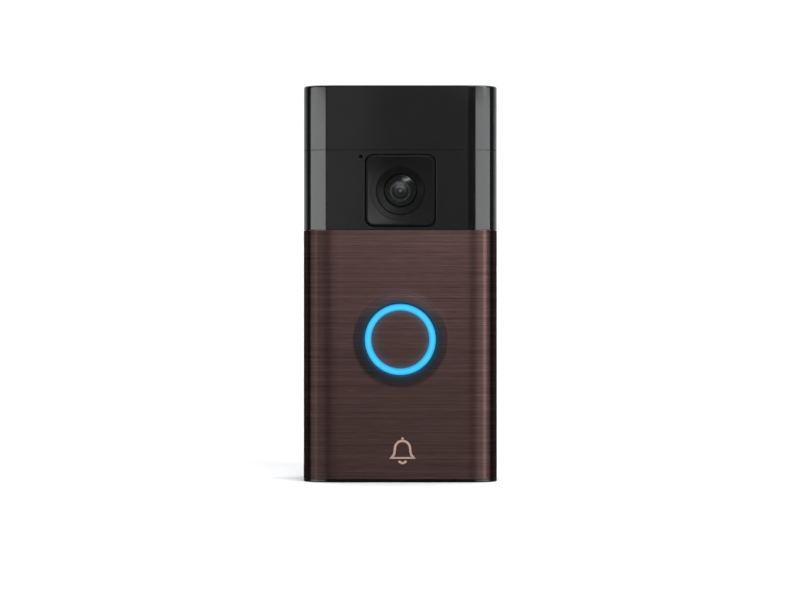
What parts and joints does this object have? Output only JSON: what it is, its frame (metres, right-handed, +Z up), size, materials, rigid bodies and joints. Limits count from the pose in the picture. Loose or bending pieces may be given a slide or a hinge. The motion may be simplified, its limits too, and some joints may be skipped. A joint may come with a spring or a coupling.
{
  "type": "video doorbell",
  "caption": "Battery video doorbell with camera, lit call button, clip-on brushed faceplate and a wall bracket that it lifts off.",
  "frame": {"origin": "on the wall, on the back face of the wall bracket, at the middle of the doorbell's width and height", "axes": "+X right seen from the front, +Y into the wall, +Z up; the front faces -Y"},
  "size_m": [0.062, 0.028, 0.1264],
  "materials": {
    "black_moulding": "fine satin texture",
    "gloss_black": "polished",
    "bronze": "brushed across and anodised",
    "halo_light": "translucent, lit from behind",
    "carrier_white": "natural moulding",
    "lens_black": "polished cone",
    "optic_glass": "coated",
    "barrel_black": "black anodised",
    "seat_black": "moulded",
    "sensor_glass": "polished",
    "board_green": "solder resist",
    "rubber_black": "moulded",
    "led_clear": "clear dome",
    "led_white": "small square package",
    "chip_black": "moulded package",
    "tin_plate": "tinned sheet",
    "membrane_white": "fine mesh",
    "copper_foil": "bare copper",
    "battery_wrap": "shrink film",
    "connector_white": "moulded",
    "lead_red": "insulation",
    "setup_orange": "smooth",
    "terminal_brass": "stamped",
    "screw_steel": "zinc plated",
    "speaker_black": "moulded",
    "flex_amber": "polyimide film",
    "label_grey": "printed film, blank"
  },
  "bodies": {
    "wall_bracket": {"mounting_bracket": "black_moulding"},
    "faceplate_body": {"faceplate": "bronze"},
    "call_button": {"button_cap": "bronze", "halo_diffuser": "halo_light", "button_carrier": "carrier_white"},
    "call_plunger": {"call_switch_plunger": "connector_white"},
    "setup_key": {"setup_button": "setup_orange"},
    "setup_plunger": {"setup_switch_plunger": "connector_white"},
    "doorbell": {"rear_housing": "black_moulding", "front_housing": "black_moulding", "camera_cover": "gloss_black", "motion_window": "gloss_black", "housing_gasket": "rubber_black", "rating_label": "label_grey", "button_gasket": "rubber_black", "button_board": "board_green", "halo_leds": "led_white", "call_switch": "seat_black", "camera_bezel": "gloss_black", "camera_gasket": "rubber_black", "lens_surround": "lens_black", "lens_glass": "optic_glass", "lens_barrel": "barrel_black", "lens_elements": "optic_glass", "lens_seat": "seat_black", "image_sensor": "sensor_glass", "camera_board": "board_green", "ir_board": "board_green", "ir_leds": "led_clear", "microphone": "tin_plate", "mic_membrane": "membrane_white", "motion_sensors": "tin_plate", "motion_board": "board_green", "main_board": "board_green", "shield_can": "tin_plate", "board_chips": "chip_black", "wifi_antenna": "copper_foil", "battery_cell": "battery_wrap", "battery_pad": "rubber_black", "battery_connector": "connector_white", "battery_leads": "lead_red", "usb_port": "tin_plate", "setup_switch": "seat_black", "terminal_plates": "terminal_brass", "terminal_screws": "screw_steel", "speaker": "speaker_black", "speaker_cone": "speaker_black", "speaker_gasket": "rubber_black", "camera_flex": "flex_amber", "button_flex": "flex_amber", "case_screws": "screw_steel", "board_screws": "screw_steel", "security_screws": "screw_steel"}
  },
  "joints": [
    {"name": "lift_off", "type": "slide", "parent": "wall_bracket", "child": "doorbell", "axis": [0, 0, 1], "range_m": [0, 0.008]},
    {"name": "faceplate_pull", "type": "slide", "parent": "doorbell", "child": "faceplate_body", "axis": [0, -1, 0], "range_m": [0, 0.02]},
    {"name": "call_press", "type": "slide", "parent": "doorbell", "child": "call_button", "axis": [0, 1, 0], "range_m": [0, 0.0008], "stiffness_N_per_m": 2500},
    {"name": "call_plunger_press", "type": "slide", "parent": "doorbell", "child": "call_plunger", "axis": [0, 1, 0], "range_m": [0, 0.00025]},
    {"name": "setup_press", "type": "slide", "parent": "doorbell", "child": "setup_key", "axis": [0, -1, 0], "range_m": [0, 0.0004], "stiffness_N_per_m": 4000},
    {"name": "setup_plunger_press", "type": "slide", "parent": "doorbell", "child": "setup_plunger", "axis": [0, -1, 0], "range_m": [0, 0.00025]}
  ],
  "couplings": [
    {"joint": "call_plunger_press", "follows": "call_press", "ratio": 0.3125},
    {"joint": "setup_plunger_press", "follows": "setup_press", "ratio": 0.625}
  ]
}
